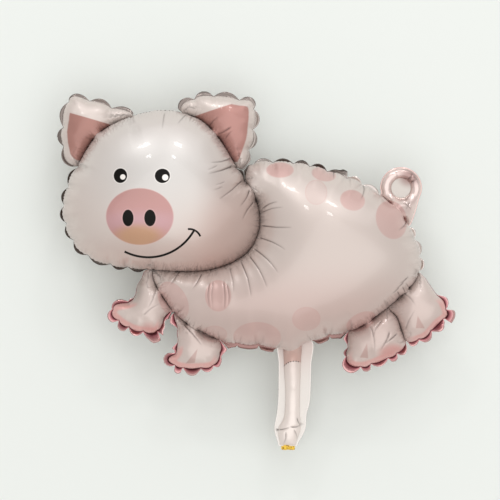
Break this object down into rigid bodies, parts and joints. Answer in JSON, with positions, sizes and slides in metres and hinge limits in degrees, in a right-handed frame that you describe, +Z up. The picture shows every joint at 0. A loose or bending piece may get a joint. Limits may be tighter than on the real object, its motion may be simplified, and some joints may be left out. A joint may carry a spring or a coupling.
{
  "type": "foil pig balloon",
  "caption": "Flat-lying air-filled foil balloon shaped as a walking pig, with a puckered edge flange and a filling neck below the belly.",
  "frame": {"origin": "under the middle of the balloon, on the surface that it lies on", "axes": "+X from the head to the tail, +Y from the neck to the ears, +Z up out of the printed side"},
  "size_m": [0.3964, 0.36, 0.1032],
  "materials": {
    "foil": "pearl pink print on metallised film, high gloss",
    "valve_film": "thin clear yellow film"
  },
  "bodies": {
    "root": {"balloon": "foil", "valve_sleeve": "valve_film"}
  },
  "joints": []
}
